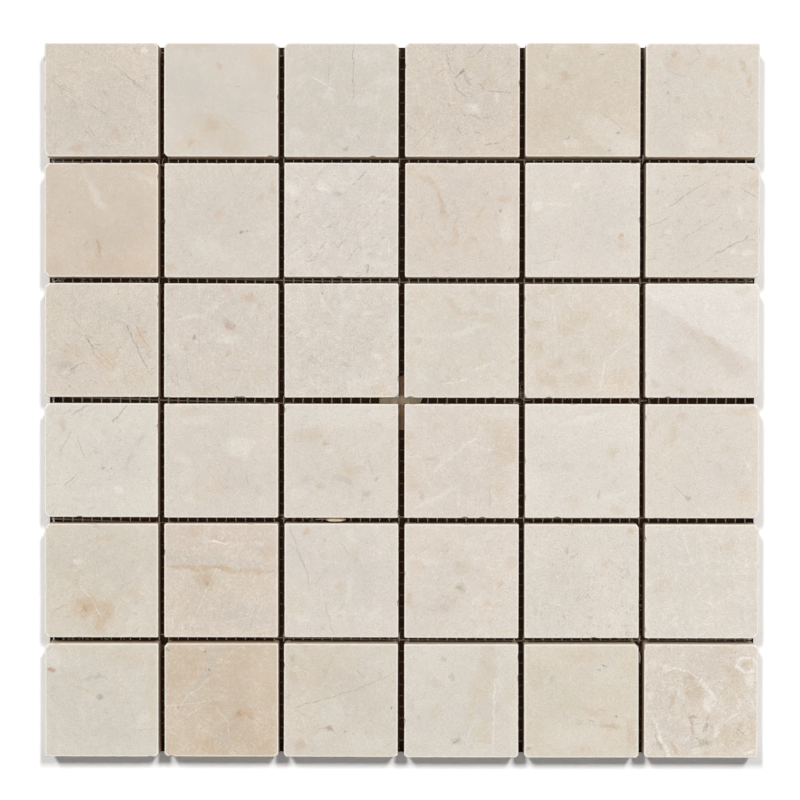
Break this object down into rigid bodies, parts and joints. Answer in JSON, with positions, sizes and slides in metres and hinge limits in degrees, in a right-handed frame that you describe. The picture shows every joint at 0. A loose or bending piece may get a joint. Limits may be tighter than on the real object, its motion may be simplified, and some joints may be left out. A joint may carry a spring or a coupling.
{
  "type": "mosaic tile sheet",
  "caption": "Square sheet of small square cream marble chips with open joints, bonded face up on a glass-fibre net.",
  "frame": {"origin": "under the middle of the sheet, on the level that the net rests on", "axes": "+Z out of the polished face, +Y towards the picture's top edge, +X towards its right edge"},
  "size_m": [0.3022, 0.3022, 0.0108],
  "materials": {
    "marble": "honed to a soft sheen on the face, sawn on the sides and back",
    "glass_net": "resin-dipped glass-fibre yarn",
    "adhesive": "set resin film, slightly glossy"
  },
  "bodies": {
    "root": {"tile_r1_c1": "marble", "tile_r1_c2": "marble", "tile_r1_c3": "marble", "tile_r1_c4": "marble", "tile_r1_c5": "marble", "tile_r1_c6": "marble", "tile_r2_c1": "marble", "tile_r2_c2": "marble", "tile_r2_c3": "marble", "tile_r2_c4": "marble", "tile_r2_c5": "marble", "tile_r2_c6": "marble", "tile_r3_c1": "marble", "tile_r3_c2": "marble", "tile_r3_c3": "marble", "tile_r3_c4": "marble", "tile_r3_c5": "marble", "tile_r3_c6": "marble", "tile_r4_c1": "marble", "tile_r4_c2": "marble", "tile_r4_c3": "marble", "tile_r4_c4": "marble", "tile_r4_c5": "marble", "tile_r4_c6": "marble", "tile_r5_c1": "marble", "tile_r5_c2": "marble", "tile_r5_c3": "marble", "tile_r5_c4": "marble", "tile_r5_c5": "marble", "tile_r5_c6": "marble", "tile_r6_c1": "marble", "tile_r6_c2": "marble", "tile_r6_c3": "marble", "tile_r6_c4": "marble", "tile_r6_c5": "marble", "tile_r6_c6": "marble", "net_warp_under": "glass_net", "net_weft": "glass_net", "net_warp_over": "glass_net", "adhesive_pads": "adhesive", "adhesive_film": "adhesive", "adhesive_bead": "adhesive"}
  },
  "joints": []
}
